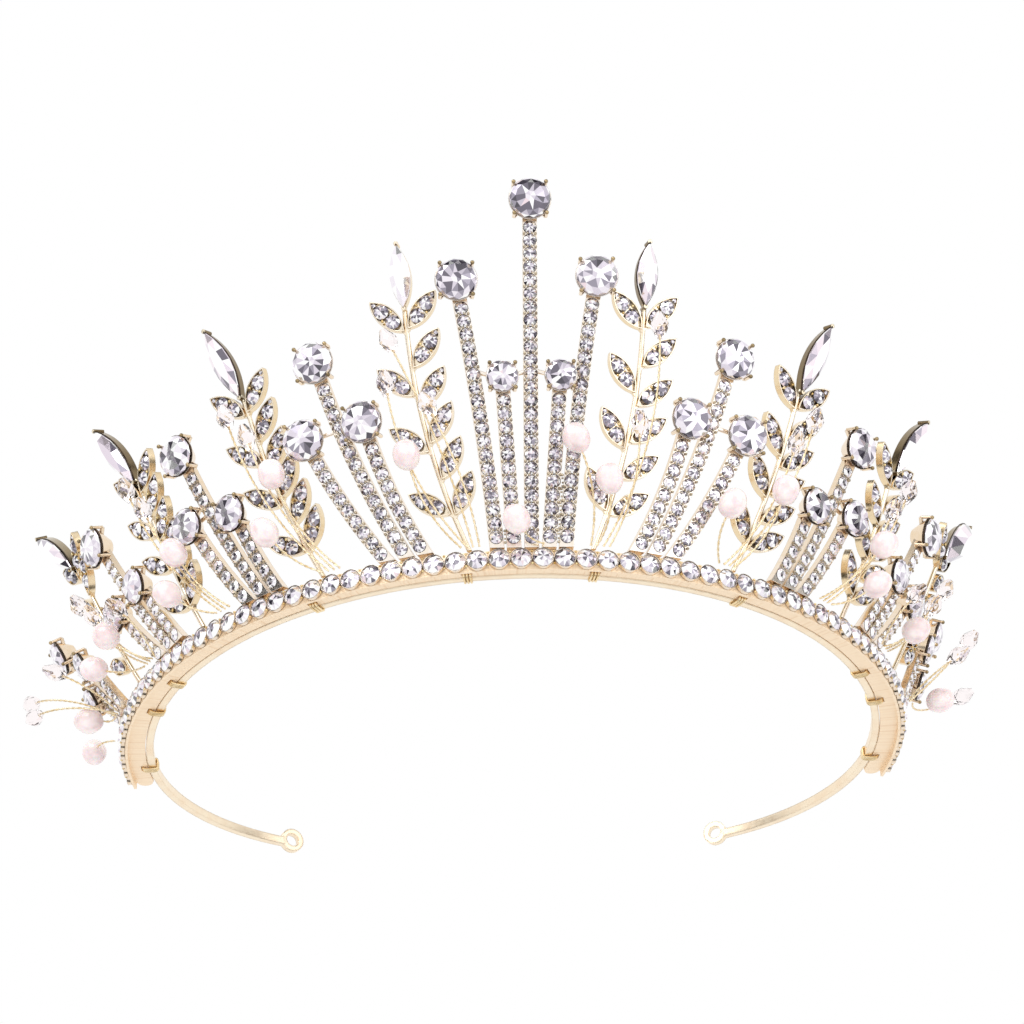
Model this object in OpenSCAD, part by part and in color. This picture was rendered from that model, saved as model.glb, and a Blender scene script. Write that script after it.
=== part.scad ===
/* [Band] */
// Radius of the circle through the base-row stones
chain_r = 75; // [60:1:95]
// Radius of the two rear curves, taken on the same line
rear_r = 52; // [40:1:60]
// Angle from the front at which the front circle passes into a rear curve
side_angle = 92; // [80:1:100]
// Angle from the front at which the decorated strip ends
strip_angle = 99; // [60:1:110]
// Angle from the front at which each hoop eyelet sits
eyelet_angle = 154; // [130:1:160]
// Thickness of the upright wall of the strip
wall_t = 0.5; // [0.4:0.1:1.2]
// Reach of the flat shelf behind the wall
shelf_w = 3.3; // [2:0.1:4]
// Thickness of the flat shelf
shelf_t = 0.8; // [0.6:0.1:1.2]
// Height of the shelf's underside above the table
shelf_z = 1.2; // [1:0.1:2]
// Width of the hoop, measured across the head
hoop_w = 1.4; // [1.2:0.1:2.5]
// Height of the hoop
hoop_h = 1.6; // [1.2:0.1:2.5]
// Outer diameter of a hoop eyelet
eyelet_d = 4.8; // [4:0.1:7]
// Bore of a hoop eyelet
eyelet_bore = 2.6; // [2:0.1:3]
// Thickness of a hoop eyelet
eyelet_t = 1.3; // [1:0.1:1.6]
// Wire that ties the hoop to the strip
tie_wire_d = 0.45; // [0.3:0.05:0.6]

/* [Base row] */
// Diameter of a base-row stone
chain_stone_d = 3.5; // [2.4:0.1:4.4]
// Wall of a base-row cup
chain_cup_wall = 0.1; // [0.1:0.05:0.3]
// Gap between neighbouring base-row cups
chain_gap = 0.1; // [0.1:0.05:0.6]

/* [Stems] */
// Diameter of a stem stone
stem_stone_d = 2.3; // [1.5:0.1:2.8]
// Gap between stones along a stem
stem_stone_gap = 0.1; // [0.1:0.05:0.8]
// Metal left on each side of the stem stones
stem_rim = 0.12; // [0.1:0.02:0.4]
// Depth of a stem bar
stem_depth = 1.2; // [1:0.1:2]
// Gap between the feet of neighbouring centre stems
foot_gap = 0.4; // [0.3:0.1:1.5]
// Outward lean of the jewelled wall from upright
flare = 17.5; // [5:0.5:30]
// Height of the crest crystal's centre along the wall
crest_h = 64.5; // [50:0.5:80]
// Diameter of the large crystals
big_d = 7.4; // [6:0.2:9]
// Diameter of the small centre crystals
small_d = 5.6; // [4:0.2:7]
// Diameter of the lower crystals of the side clusters
mid_d = 6.6; // [5:0.2:8]

/* [Sprigs] */
// Diameter of the two main stones in a leaf
leaf_stone_d = 2.7; // [1.8:0.1:3.4]
// How far a leaf cup reaches past its two main stones at each end
leaf_point = 1.5; // [1:0.1:2.5]
// Diameter of the sprig wire
sprig_wire_d = 0.9; // [0.7:0.1:1.4]
// Length of the navette crystal at the tip of the tallest sprig
navette_l = 11.8; // [10:0.2:14]
// Width of the navette crystal
navette_w = 3.8; // [3:0.1:5]

/* [Sprays] */
// Diameter of a pearl
pearl_d = 4.8; // [3.5:0.1:6]
// Length of a pearl along its wire
pearl_l = 5.8; // [5:0.1:8]
// Diameter of a clear bead
bead_d = 3.4; // [2.4:0.1:4.5]
// Length of a clear bead along its wire
bead_l = 4.8; // [3:0.1:6]
// Diameter of a spray wire
spray_wire_d = 0.4; // [0.3:0.05:0.8]

/* [Hidden] */
GOLD = [0.90, 0.76, 0.48];
CRYSTAL = [0.93, 0.95, 0.98];
PEARL = [0.98, 0.90, 0.86];

fit_gap = 0.05;
wire_gap = 0.1;
hoop_gap = 0.15;
round_fn = 32;
arc_fn = 180;

cup_od = chain_stone_d + 2 * chain_cup_wall;
chain_pitch = cup_od + chain_gap;
wall_h = cup_od + 2 * fit_gap;
chain_n = floor(strip_angle / 180 * PI * chain_r * 2 / chain_pitch);
cup_depth = 0.8;
wall_r = chain_r - cup_depth;
seat_r = wall_r - wall_t / 2;
chain_z = wall_h - cup_od / 2 - fit_gap;
hoop_r = wall_r - wall_t - shelf_w - hoop_gap - hoop_w / 2;
hoop_z = chain_z - hoop_h / 2;
rear_hoop_r = rear_r - (chain_r - hoop_r);
tie_angles = [9, 32, 64, 74, 94];
slot_r = wall_r - wall_t - shelf_w + 0.7;
slot_w = tie_wire_d + 2 * wire_gap;
plane_r = wall_r + 0.5;

// Where the front circle's centre lies, so that the part's box is centred on x = 0, y = 0
front_reach = plane_r + (crest_h + 0.28 * big_d) * sin(flare) + (1.25 + 0.16 * big_d) * cos(flare);
rear_reach = -(chain_r - rear_r) * cos(side_angle) - rear_hoop_r * cos(eyelet_angle)
    + eyelet_d / 2 * sin(eyelet_angle) - eyelet_t / 2 * cos(eyelet_angle);
centre_y = (front_reach - rear_reach) / 2;

stem_w = stem_stone_d + 2 * stem_rim;
stem_pitch = stem_stone_d + stem_stone_gap;
stem_front = -0.3;
foot_y = (wall_h - chain_z) / cos(flare);
foot_step = stem_w + foot_gap;
girdle_z = 1.2;
prong_out = 0.35;

// Stems of each cluster: foot x, head x, head height, crystal diameter, bulge of the bar
CENTRE = [
    [0, 1.2, crest_h, big_d, 0],
    [-foot_step, -4.4, 32.2, small_d, 0],
    [foot_step, 5.8, 32.3, small_d, 0],
    [-2 * foot_step, -12.1, 49.7, big_d, -0.6],
    [2 * foot_step, 12.6, 50.2, big_d, 0.6]
];
CLUSTER_1 = [
    [-8.2, 0.4, 27, big_d, -1.0],
    [-4.8, 8.0, 39.3, big_d, -1.2],
    [-1.4, 11.4, 25.8, big_d, -0.8]
];
CLUSTER_2 = [
    [-8.8, -2.4, 18.2, mid_d, -0.6],
    [-5.4, 6.8, 32.6, big_d, -0.9],
    [-2.0, 7.9, 19.4, mid_d, -0.6]
];
CLUSTER_3 = [
    [-9.6, -1.0, 16.4, mid_d, -0.6],
    [-6.2, 9.6, 29.4, big_d, -0.9],
    [-2.6, 8.6, 15.0, mid_d, -0.6]
];
CLUSTER_4 = [
    [-10.2, -4.0, 14.8, small_d, -0.4],
    [-6.8, 6.8, 23.2, mid_d, -0.6],
    [-3.4, 2.8, 10.2, small_d, -0.4]
];
CLUSTERS = [CLUSTER_1, CLUSTER_2, CLUSTER_3, CLUSTER_4];
CLUSTER_ANGLE = [20, 42, 62, 84];
// The last cluster is bent outwards, the left one further than the right one
RIGHT_FLARE = [flare, flare, flare, flare + 3];
LEFT_FLARE = [flare, flare, flare, flare + 12];

// Sprigs on the right, the left ones lean the other way: foot x, top x, top height, bulge, lean of the
// navette, its extra length, and the share of the stem from which leaves on the front side are kept
SPRIGS = [
    [-5.2, 2.9, 45.4, -2.0, 2, 0, 0],
    [-4.6, 5.4, 37, -1.2, 19, 3, 0],
    [-3.0, 4.8, 33, -1.0, 28, 3.6, 0],
    [-5.6, 3.0, 30.6, -0.8, 42, 5.6, 0.7]
];
function leaning(s, side) =
    [side * s[0], side * s[1], s[2], side * s[3], side * s[4], navette_l + s[5], s[6], -side];
SPRIG_ANGLE = [12, 32, 52.5, 73.5];
SPRIG_FLARE = [flare, flare, flare, flare + 4];
// Leaves: share of the stem's length, side of the stem (1 right, -1 left)
LEAVES = [
    [0.16, 1], [0.31, 1], [0.46, 1], [0.61, 1], [0.77, 1], [0.93, 1],
    [0.17, -1], [0.43, -1], [0.66, -1], [0.92, -1]
];
leaf_turn = 42;
leaf_z = -1.5;
leaf_t = 1.4;
leaf_rim = 0.2;
leaf_l = 2 * (leaf_stone_d + leaf_point);
leaf_w = leaf_stone_d + 2 * leaf_rim + 0.4;

// Pearl's profile: a long arc on the side that runs into a smaller arc at each end
end_r = 0.4 * pearl_d;
end_c = pearl_l / 2 - end_r;
side_r = (pearl_d * pearl_d / 4 + end_c * end_c - end_r * end_r) / (pearl_d - 2 * end_r);
tangent_y = end_c * side_r / (side_r - end_r);

// Sprays from left to right: angle, then branches as tip x, tip y, tip z, kind (0 pearl, 1 bead), bulge
spray_z = 0.6;
SPRAYS = [
    [-88, [[-6.6, 4.9, 3.8, 0, -0.8]]],
    [-80, [[-3.4, 4.4, 5, 0, 0.25], [-9, 14, 12, 1, -3], [-6, 10, 13.5, 1, -3],
        [4, 13, 9, 1, -1.5]]],
    [-63, [[-12.5, 6.8, 5.2, 0, 1], [-13, 20, 4.5, 1, 2], [-9, 16, 4.5, 1, 1.5],
        [-5, 10, 5.2, 0, 1], [3, 12, 6, 1, -1]]],
    [-45, [[-8, 8, 5.2, 0, 0.8], [-13, 30, 4.5, 1, 2.5], [-10, 25, 4.5, 1, 2],
        [-4.6, 14.6, 5, 0, 1]]],
    [-27, [[-9.4, 10.6, 5.2, 0, 1], [-14, 33, 4.5, 1, 2.5], [-10.5, 28.5, 4.5, 1, 2],
        [-6.6, 20.6, 5, 0, 1.5]]],
    [-8, [[-9.6, 18.2, 5.6, 0, 1.5], [-12.6, 31.5, 4.5, 1, 2.5],
        [-11.6, 39, 4.5, 1, -1], [-5.5, 27, 5, 1, -1]]],
    [1.5, [[-5, 5.6, 5.4, 0, 0.6]]],
    [9, [[-5.6, 20, 5.2, 0, -1.5], [0.4, 13.2, 5.2, 0, -1], [9, 41.5, 4.5, 1, -3],
        [5.6, 23.4, 5, 1, -1.5]]],
    [27, [[-2.8, 12, 5.2, 0, 1], [9.5, 26, 4.5, 1, -2], [13, 31, 4.5, 1, -2.5],
        [7.4, 16.6, 5.9, 0, -1.5]]],
    [45, [[7.4, 15.4, 5.8, 0, -1], [10, 23, 4.5, 1, -2], [13.5, 28, 4.5, 1, -2.5],
        [8, 8, 5.2, 0, -0.8]]],
    [62, [[-3, 12, 6, 1, 1], [1.4, 6.6, 5.4, 0, -0.6], [9, 15, 4.5, 1, -1.5],
        [13, 20, 4.5, 1, -2]]],
    [80, [[-6, 12, 7, 1, 1], [-1, 18, 7, 1, -1], [9, 11, 8, 1, -2.5],
        [3.8, 6.4, 5.2, 0, -0.4]]]
];
SPRAY_FLARE = concat([flare + 12, flare + 8], [for (k = [3 : 11]) flare], [flare + 8]);

// ---- places ----

// Turns a piece drawn at the front of the band to an angle round the head
module round_band(angle) translate([0, centre_y, 0]) rotate([0, 0, angle]) children();

// Local plane of the jewelled wall: x along the band, y up the wall, z outward
module on_wall(angle, lean) round_band(angle)
    translate([0, -plane_r, chain_z]) rotate([90 + lean, 0, 0]) children();

module band_arc(r_in, r_out, h, half_angle) translate([0, centre_y, 0])
    rotate([0, 0, -90 - half_angle])
    rotate_extrude(angle = 2 * half_angle, $fn = arc_fn)
    translate([r_in, 0]) square([r_out - r_in, h]);

// Everything below the top of the strip, in the table's frame
module strip_zone() translate([-200, -200, -100]) cube([400, 400, 100 + wall_h + fit_gap]);

// ---- base strip ----

module strip_end(side) round_band(side * strip_angle)
    translate([0, -(wall_r - wall_t - shelf_w / 2), shelf_z])
        cylinder(d = shelf_w - 0.4, h = shelf_t, $fn = round_fn);

module tie_slot(angle) round_band(angle)
    translate([-1, -slot_r - slot_w, shelf_z - 1]) cube([2, slot_w, 3]);

module base_strip() color(GOLD) difference() {
    union() {
        band_arc(wall_r - wall_t, wall_r, wall_h, strip_angle);
        translate([0, 0, shelf_z])
            band_arc(wall_r - wall_t - shelf_w, wall_r - wall_t / 2, shelf_t, strip_angle);
        for (side = [-1, 1]) strip_end(side);
    }
    for (a = tie_angles, side = [-1, 1]) tie_slot(side * a);
}

// ---- hoop ----

module hoop_side() {
    mid = (chain_r - rear_r);
    eye_a = eyelet_angle;
    end_trim = (eyelet_d / 2 - 0.6) / rear_hoop_r * 180 / PI;
    round_band(0) rotate([0, 0, side_angle]) translate([0, -mid, 0]) {
        rotate([0, 0, -90]) rotate_extrude(angle = eye_a - side_angle - end_trim, $fn = arc_fn)
            translate([rear_hoop_r - hoop_w / 2, hoop_z]) square([hoop_w, hoop_h]);
        rotate([0, 0, eye_a - side_angle]) translate([0, -rear_hoop_r + eyelet_t / 2, eyelet_d / 2])
            rotate([90, 0, 0]) cylinder(d = eyelet_d, h = eyelet_t, $fn = round_fn);
    }
}

module eyelet_hole() {
    round_band(0) rotate([0, 0, side_angle]) translate([0, -(chain_r - rear_r), 0])
        rotate([0, 0, eyelet_angle - side_angle]) translate([0, -rear_hoop_r + 3, eyelet_d / 2])
        rotate([90, 0, 0]) cylinder(d = eyelet_bore, h = 6, $fn = round_fn);
}

module hair_hoop() color(GOLD) difference() {
    union() {
        translate([0, 0, hoop_z]) band_arc(hoop_r - hoop_w / 2, hoop_r + hoop_w / 2, hoop_h, side_angle);
        hoop_side();
        mirror([1, 0, 0]) hoop_side();
    }
    eyelet_hole();
    mirror([1, 0, 0]) eyelet_hole();
}

module tie_loop() {
    w = slot_r + 2 * wire_gap - (hoop_r - hoop_w / 2);
    h = hoop_h + 2 * wire_gap;
    linear_extrude(tie_wire_d, center = true) difference() {
        translate([-tie_wire_d, -tie_wire_d]) square([w + 2 * tie_wire_d, h + 2 * tie_wire_d]);
        square([w, h]);
    }
}

module binding_ties() color(GOLD)
    for (a = tie_angles, side = [-1, 1], k = [-1 : 1]) round_band(side * a)
        translate([k * 0.55, -(hoop_r - hoop_w / 2 - wire_gap), hoop_z - wire_gap])
        rotate([90, 0, -90]) tie_loop();

// ---- base row ----

module along_row() {
    step = chain_pitch / chain_r * 180 / PI;
    for (k = [0 : chain_n - 1]) round_band((k - (chain_n - 1) / 2) * step)
        translate([0, -wall_r - fit_gap, chain_z]) rotate([90, 0, 0]) children();
}

module row_cup() difference() {
    cylinder(d = cup_od, h = 0.8, $fn = round_fn);
    translate([0, 0, 0.15]) cylinder(d1 = 1.2, d2 = chain_stone_d + 2 * fit_gap, h = 0.46, $fn = round_fn);
    translate([0, 0, 0.6]) cylinder(d = chain_stone_d + 2 * fit_gap, h = 1, $fn = round_fn);
}

// Round stone with its girdle at z = 0: pavilion below, crown and table above
module round_stone(d, depth, crown) {
    translate([0, 0, -depth]) cylinder(d1 = 0.3 * d, d2 = d, h = depth, $fn = 24);
    cylinder(d = d, h = 0.1, $fn = 24);
    translate([0, 0, 0.1]) cylinder(d1 = d, d2 = 0.6 * d, h = crown, $fn = 24);
}

module base_row_cups() color(GOLD) along_row() row_cup();

module base_row_stones() color(CRYSTAL) along_row()
    translate([0, 0, 0.65]) round_stone(chain_stone_d, 0.38, 0.65);

// ---- curved bars ----

function arc_r(c, bulge) = (c * c / 4 + bulge * bulge) / (2 * abs(bulge));

// Bar from point p to point q, bulging by the given amount to the left of its way (positive)
module along_arc(p, q, bulge) {
    c = norm(q - p);
    dir = atan2(q[1] - p[1], q[0] - p[0]);
    translate([p[0], p[1], 0]) rotate([0, 0, dir]) {
        if (abs(bulge) < 0.05) {
            straight_bar(c);
        } else {
            r = arc_r(c, bulge);
            half = asin(c / 2 / r);
            turn = bulge > 0 ? 1 : 0;
            mirror([0, turn ? 0 : 1, 0]) translate([c / 2, -sqrt(r * r - c * c / 4), 0])
                rotate([0, 0, 90 - half]) arc_bar(r, 2 * half);
        }
    }
}

module straight_bar(c) translate([0, -stem_w / 2, stem_front - stem_depth]) cube([c, stem_w, stem_depth]);

module arc_bar(r, a) rotate_extrude(angle = a, $fn = 360)
    translate([r - stem_w / 2, stem_front - stem_depth]) square([stem_w, stem_depth]);

// Point and heading at a share t of the arc from p to q
function arc_point(p, q, bulge, t) =
    let (c = norm(q - p), u = (q - p) / c, n = [-u[1], u[0]])
    abs(bulge) < 0.05 ? p + t * (q - p) :
    let (r = arc_r(c, bulge), half = asin(c / 2 / r), a = (2 * t - 1) * half, s = bulge > 0 ? 1 : -1)
    p + u * (c / 2 + r * sin(a)) + n * s * (r * cos(a) - sqrt(r * r - c * c / 4));

function arc_heading(p, q, bulge, t) =
    let (c = norm(q - p), dir = atan2(q[1] - p[1], q[0] - p[0]))
    abs(bulge) < 0.05 ? dir :
    let (r = arc_r(c, bulge), half = asin(c / 2 / r), s = bulge > 0 ? 1 : -1)
    dir - s * (2 * t - 1) * half;

function arc_length(p, q, bulge) =
    let (c = norm(q - p))
    abs(bulge) < 0.05 ? c :
    let (r = arc_r(c, bulge)) 2 * asin(c / 2 / r) * PI / 180 * r;

// ---- stem clusters ----

function foot(s) = [s[0], foot_y - 1];
function head(s) = [s[1], s[2]];
function stem_run(s) = arc_length(foot(s), head(s), s[4]) - s[3] / 2 - 1.6;
function stone_count(s) = floor(stem_run(s) / stem_pitch);
function stone_share(s, k) =
    (1.6 + (k + 0.5) * stem_run(s) / stone_count(s)) / arc_length(foot(s), head(s), s[4]);

// A stem carries no stone where another stem's crystal stands in front of it
function clear_of_heads(stems, s, at) =
    min([for (h = stems) h == s ? 100 : norm(at - head(h)) - h[3] / 2]) > 0.3;

module on_stem_stones(stems) for (s = stems, k = [0 : stone_count(s) - 1]) {
    at = arc_point(foot(s), head(s), s[4], stone_share(s, k));
    if (clear_of_heads(stems, s, at)) translate([at[0], at[1], stem_front]) children();
}

// Four-prong setting: a conical basket, prongs on its corners and two bars across its back
module setting(d) {
    translate([0, 0, 0.7 - 0.45 * d]) cylinder(d1 = 0.4 * d, d2 = d + 0.2, h = 0.45 * d, $fn = round_fn);
    for (a = [45 : 90 : 315]) rotate([0, 0, a]) translate([d / 2 + prong_out, 0, 0]) {
        translate([0, 0, -0.6]) cylinder(d = 0.6, h = girdle_z + 1.0, $fn = 16);
        translate([0, 0, girdle_z + 0.4]) sphere(d = 0.7, $fn = 16);
    }
    for (a = [45, 135]) rotate([0, 0, a]) translate([-d / 2 - prong_out, -0.35, -0.9])
        cube([d + 2 * prong_out, 0.7, 0.6]);
}

module setting_hollow(d) {
    translate([0, 0, girdle_z - 0.43 * d - fit_gap])
        cylinder(d1 = 0.3, d2 = d + 4 * fit_gap, h = 0.43 * d + fit_gap, $fn = round_fn);
    translate([0, 0, girdle_z - 0.01]) cylinder(d = d + 2 * fit_gap, h = 0.3, $fn = round_fn);
    translate([0, 0, girdle_z + 0.2])
        cylinder(d1 = d + 2 * fit_gap, d2 = 0.5 * d, h = 0.3 * d, $fn = round_fn);
}

module tie_bar(p, q) {
    c = norm(q - p);
    translate([p[0], p[1], stem_front - 0.6]) rotate([0, 0, atan2(q[1] - p[1], q[0] - p[0])])
        rotate([0, 90, 0]) cylinder(d = 0.8, h = c, $fn = 16);
}

module cluster_frame(stems, ties, angle, lean) difference() {
    on_wall(angle, lean) difference() {
        union() {
            for (s = stems) along_arc(foot(s), head(s), s[4]);
            for (s = stems) translate([s[1], s[2], 0]) setting(s[3]);
            for (t = ties) tie_bar(t[0], t[1]);
        }
        for (s = stems) translate([s[1], s[2], 0]) setting_hollow(s[3]);
        on_stem_stones(stems)
            translate([0, 0, -0.6]) cylinder(d = stem_stone_d + 2 * fit_gap, h = 1.2, $fn = 24);
    }
    strip_zone();
}

module cluster_stones(stems, angle, lean) color(CRYSTAL) on_wall(angle, lean)
    on_stem_stones(stems) round_stone(stem_stone_d, 0.5, 0.35);

// Brilliant with its girdle at z = 0
module brilliant(d) hull() {
    translate([0, 0, 0.16 * d]) rotate(22.5) linear_extrude(0.02) circle(d = 0.56 * d, $fn = 8);
    linear_extrude(0.02 * d) circle(d = d, $fn = 16);
    translate([0, 0, -0.4 * d]) linear_extrude(0.01) circle(d = 0.04 * d, $fn = 8);
}

module cluster_crystals(stems, angle, lean) color(CRYSTAL) on_wall(angle, lean)
    for (s = stems) translate([s[1], s[2], girdle_z]) brilliant(s[3]);

// Lugs that join a lower head to a neighbouring stem
function lug(low, tall) = let (t = (low[2] + 1) / tall[2])
    [head(low), arc_point(foot(tall), head(tall), tall[4], t)];
centre_ties = [
    lug(CENTRE[1], CENTRE[3]), lug(CENTRE[2], CENTRE[4]), lug(CENTRE[1], CENTRE[0]), lug(CENTRE[2], CENTRE[0])
];
function side_ties(k) = let (s = CLUSTERS[k]) [lug(s[0], s[1]), lug(s[2], s[1])];

module centre_frame() color(GOLD) cluster_frame(CENTRE, centre_ties, 0, flare);
module centre_stones() cluster_stones(CENTRE, 0, flare);
module centre_crystals() cluster_crystals(CENTRE, 0, flare);
module side_frame(k, lean) color(GOLD) cluster_frame(CLUSTERS[k], side_ties(k), CLUSTER_ANGLE[k], lean);
module side_stones(k, lean) cluster_stones(CLUSTERS[k], CLUSTER_ANGLE[k], lean);
module side_crystals(k, lean) cluster_crystals(CLUSTERS[k], CLUSTER_ANGLE[k], lean);

// ---- leaf sprigs ----

function sprig_foot(s) = [s[0], foot_y - 1];
function sprig_top(s) = [s[1], s[2]];

module vesica(l, w) {
    r = (l * l / 4 + w * w / 4) / w;
    intersection() {
        translate([r - w / 2, 0]) circle(r = r, $fn = 96);
        translate([w / 2 - r, 0]) circle(r = r, $fn = 96);
    }
}

module on_leaves(s) for (leaf = LEAVES) if (leaf[1] != s[7] || leaf[0] > s[6]) {
    at = arc_point(sprig_foot(s), sprig_top(s), s[3], leaf[0]);
    way = arc_heading(sprig_foot(s), sprig_top(s), s[3], leaf[0]);
    translate([at[0], at[1], 0]) rotate([0, 0, way - 90 - leaf[1] * leaf_turn]) children();
}

module leaf_body() {
    translate([0, leaf_l / 2 + 0.5, leaf_z]) linear_extrude(leaf_t) vesica(leaf_l, leaf_w);
    translate([-0.35, 0, -1.3]) cube([0.7, 1.6, 0.8]);
}

module leaf_recess() translate([0, leaf_l / 2 + 0.5, leaf_z + 0.5]) linear_extrude(2)
    vesica(leaf_l - 3 * leaf_rim, leaf_w - 2 * leaf_rim);

module leaf_stones() translate([0, leaf_l / 2 + 0.5, leaf_z + leaf_t - 0.15]) {
    translate([0, -leaf_stone_d / 2 - 0.05, 0]) round_stone(leaf_stone_d, 0.6, 0.4);
    translate([0, leaf_stone_d / 2 + 0.05, 0]) round_stone(leaf_stone_d, 0.6, 0.4);
    translate([0, 1.2 * leaf_stone_d, 0]) round_stone(0.3 * leaf_stone_d, 0.5, 0.2);
}

module sprig_wire(p, q, bulge) {
    c = norm(q - p);
    dir = atan2(q[1] - p[1], q[0] - p[0]);
    r = arc_r(c, bulge);
    half = asin(c / 2 / r);
    translate([p[0], p[1], -0.9]) rotate([0, 0, dir]) mirror([0, bulge > 0 ? 0 : 1, 0])
        translate([c / 2, -sqrt(r * r - c * c / 4), 0]) rotate([0, 0, 90 - half])
        rotate_extrude(angle = 2 * half, $fn = 360) translate([r, 0]) circle(d = sprig_wire_d, $fn = 16);
}

module navette_place(s) translate([s[1], s[2], 0]) rotate([0, 0, -s[4]])
    translate([0, s[5] / 2 + 0.9, 0]) children();

// Cup under the navette's girdle, with a claw at each tip
module navette_cup(l) {
    translate([0, 0, -1.9]) linear_extrude(1.65) vesica(l, navette_w - 0.1);
    for (end = [-1, 1]) translate([0, end * (l / 2 + 0.1), -1.9]) cylinder(d = 0.8, h = 2.3, $fn = 16);
}

module navette_hollow(l) {
    translate([0, 0, -1.4]) linear_extrude(3) vesica(l - 0.6, navette_w - 0.5);
    translate([0, 0, -0.25]) linear_extrude(3) vesica(l + 4 * fit_gap, navette_w + 2 * fit_gap);
}

module navette_crystal(l) hull() {
    translate([0, 0, 1.5]) linear_extrude(0.02) vesica(l * 0.62, navette_w * 0.42);
    linear_extrude(0.1) vesica(l, navette_w);
    translate([0, 0, -1.2]) linear_extrude(0.02) vesica(l * 0.5, 0.3);
}

// The castings are alike on both sides of the head: only their lean changes
module sprig(k, side) color(GOLD) difference() {
    s = leaning(SPRIGS[k], side);
    on_wall(side * SPRIG_ANGLE[k], SPRIG_FLARE[k]) difference() {
        union() {
            sprig_wire(sprig_foot(s), sprig_top(s), s[3]);
            on_leaves(s) leaf_body();
            navette_place(s) navette_cup(s[5]);
            translate([s[1], s[2], -0.9]) rotate([0, 0, -s[4]]) rotate([-90, 0, 0])
                cylinder(d = sprig_wire_d, h = 1.5, $fn = 16);
        }
        on_leaves(s) leaf_recess();
        navette_place(s) navette_hollow(s[5]);
    }
    strip_zone();
}

module sprig_stones(k, side) color(CRYSTAL) on_wall(side * SPRIG_ANGLE[k], SPRIG_FLARE[k]) {
    on_leaves(leaning(SPRIGS[k], side)) leaf_stones();
    navette_place(leaning(SPRIGS[k], side)) navette_crystal(navette_l + SPRIGS[k][5]);
}

// ---- pearl sprays ----

// Point and heading of a branch's arc: from its foot, in a plane tipped out towards the tip
module on_branch(b, i, n) {
    x0 = (i - (n - 1) / 2) * (spray_wire_d + 0.7);
    up = b[1] - foot_y - spray_wire_d / 2 - fit_gap;
    out = b[2] - spray_z;
    translate([x0, foot_y + spray_wire_d / 2 + fit_gap, spray_z]) rotate([atan2(out, up), 0, 0])
        branch_frame([b[0] - x0, norm([up, out])], b[4]) children();
}

module branch_frame(tip, bulge) {
    c = norm(tip);
    r = arc_r(c, bulge);
    half = asin(c / 2 / r);
    rotate([0, 0, atan2(tip[1], tip[0])]) mirror([0, bulge > 0 ? 0 : 1, 0])
        translate([c / 2, -sqrt(r * r - c * c / 4), 0]) rotate([0, 0, 90 - half]) {
        $r = r;
        $a = 2 * half;
        children();
    }
}

// Wire that stops a little inside the drilled end of its pearl or bead
module branch_wire(b, i, n) on_branch(b, i, n)
    rotate([0, 0, (tip_reach(b) - 0.8) / $r * 180 / PI])
    rotate_extrude(angle = $a - (tip_reach(b) - 0.8) / $r * 180 / PI, $fn = arc_fn)
    translate([$r, 0]) circle(d = spray_wire_d, $fn = 16);

function tip_reach(b) = b[3] == 0 ? pearl_l / 2 : bead_l / 2;

// Pearl standing on its branch's end, long way along the wire
module branch_end(b, i, n) on_branch(b, i, n) translate([$r, 0, 0]) rotate([-90, 0, 0]) {
    if (b[3] == 0) pearl();
    if (b[3] == 1) bead();
}

module drilled(l) difference() {
    children();
    translate([0, 0, l / 2 - 1]) cylinder(d = spray_wire_d + 0.7, h = 2, $fn = 16);
}

module pearl() drilled(pearl_l) rotate_extrude($fn = 48) intersection() {
    union() {
        intersection() {
            translate([pearl_d / 2 - side_r, 0]) circle(r = side_r, $fn = 96);
            translate([0, -tangent_y]) square([pearl_d, 2 * tangent_y]);
        }
        translate([0, end_c]) circle(r = end_r, $fn = 48);
        translate([0, -end_c]) circle(r = end_r, $fn = 48);
    }
    translate([0, -pearl_l]) square([pearl_d, 2 * pearl_l]);
}

module bead() drilled(bead_l) {
    translate([0, 0, -bead_l / 2]) cylinder(d1 = 0.35 * bead_d, d2 = bead_d, h = bead_l / 2, $fn = round_fn);
    cylinder(d1 = bead_d, d2 = 0.35 * bead_d, h = bead_l / 2, $fn = round_fn);
}

module each_branch(from, to) for (k = [from : to]) {
    s = SPRAYS[k];
    on_wall(s[0], SPRAY_FLARE[k]) for (i = [0 : len(s[1]) - 1]) {
        $b = s[1][i];
        $i = i;
        $n = len(s[1]);
        children();
    }
}

module spray_wires(from, to) color(GOLD) each_branch(from, to) branch_wire($b, $i, $n);
module spray_pearls() color(PEARL) each_branch(0, len(SPRAYS) - 1) if ($b[3] == 0) branch_end($b, $i, $n);
module spray_beads() color(CRYSTAL) each_branch(0, len(SPRAYS) - 1) if ($b[3] == 1) branch_end($b, $i, $n);

// ---- assembly ----

base_strip();
hair_hoop();
base_row_cups();
base_row_stones();
binding_ties();
centre_frame();
centre_stones();
centre_crystals();
for (k = [0 : 3]) {
    n = str(k + 1);
    side_frame(k, RIGHT_FLARE[k]);
    side_stones(k, RIGHT_FLARE[k]);
    side_crystals(k, RIGHT_FLARE[k]);
    mirror([1, 0, 0]) side_frame(k, LEFT_FLARE[k]);
    mirror([1, 0, 0]) side_stones(k, LEFT_FLARE[k]);
    mirror([1, 0, 0]) side_crystals(k, LEFT_FLARE[k]);
    sprig(k, 1);
    sprig_stones(k, 1);
    sprig(k, -1);
    sprig_stones(k, -1);
}
spray_wires(0, 5);  // left_spray_wires
spray_wires(6, len(SPRAYS) - 1);  // right_spray_wires
spray_pearls();
spray_beads();
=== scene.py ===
"""Bridal tiara: pale gold plated castings, foiled crystals, pearl sprays on twisted wire, and a hair hoop."""

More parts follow.
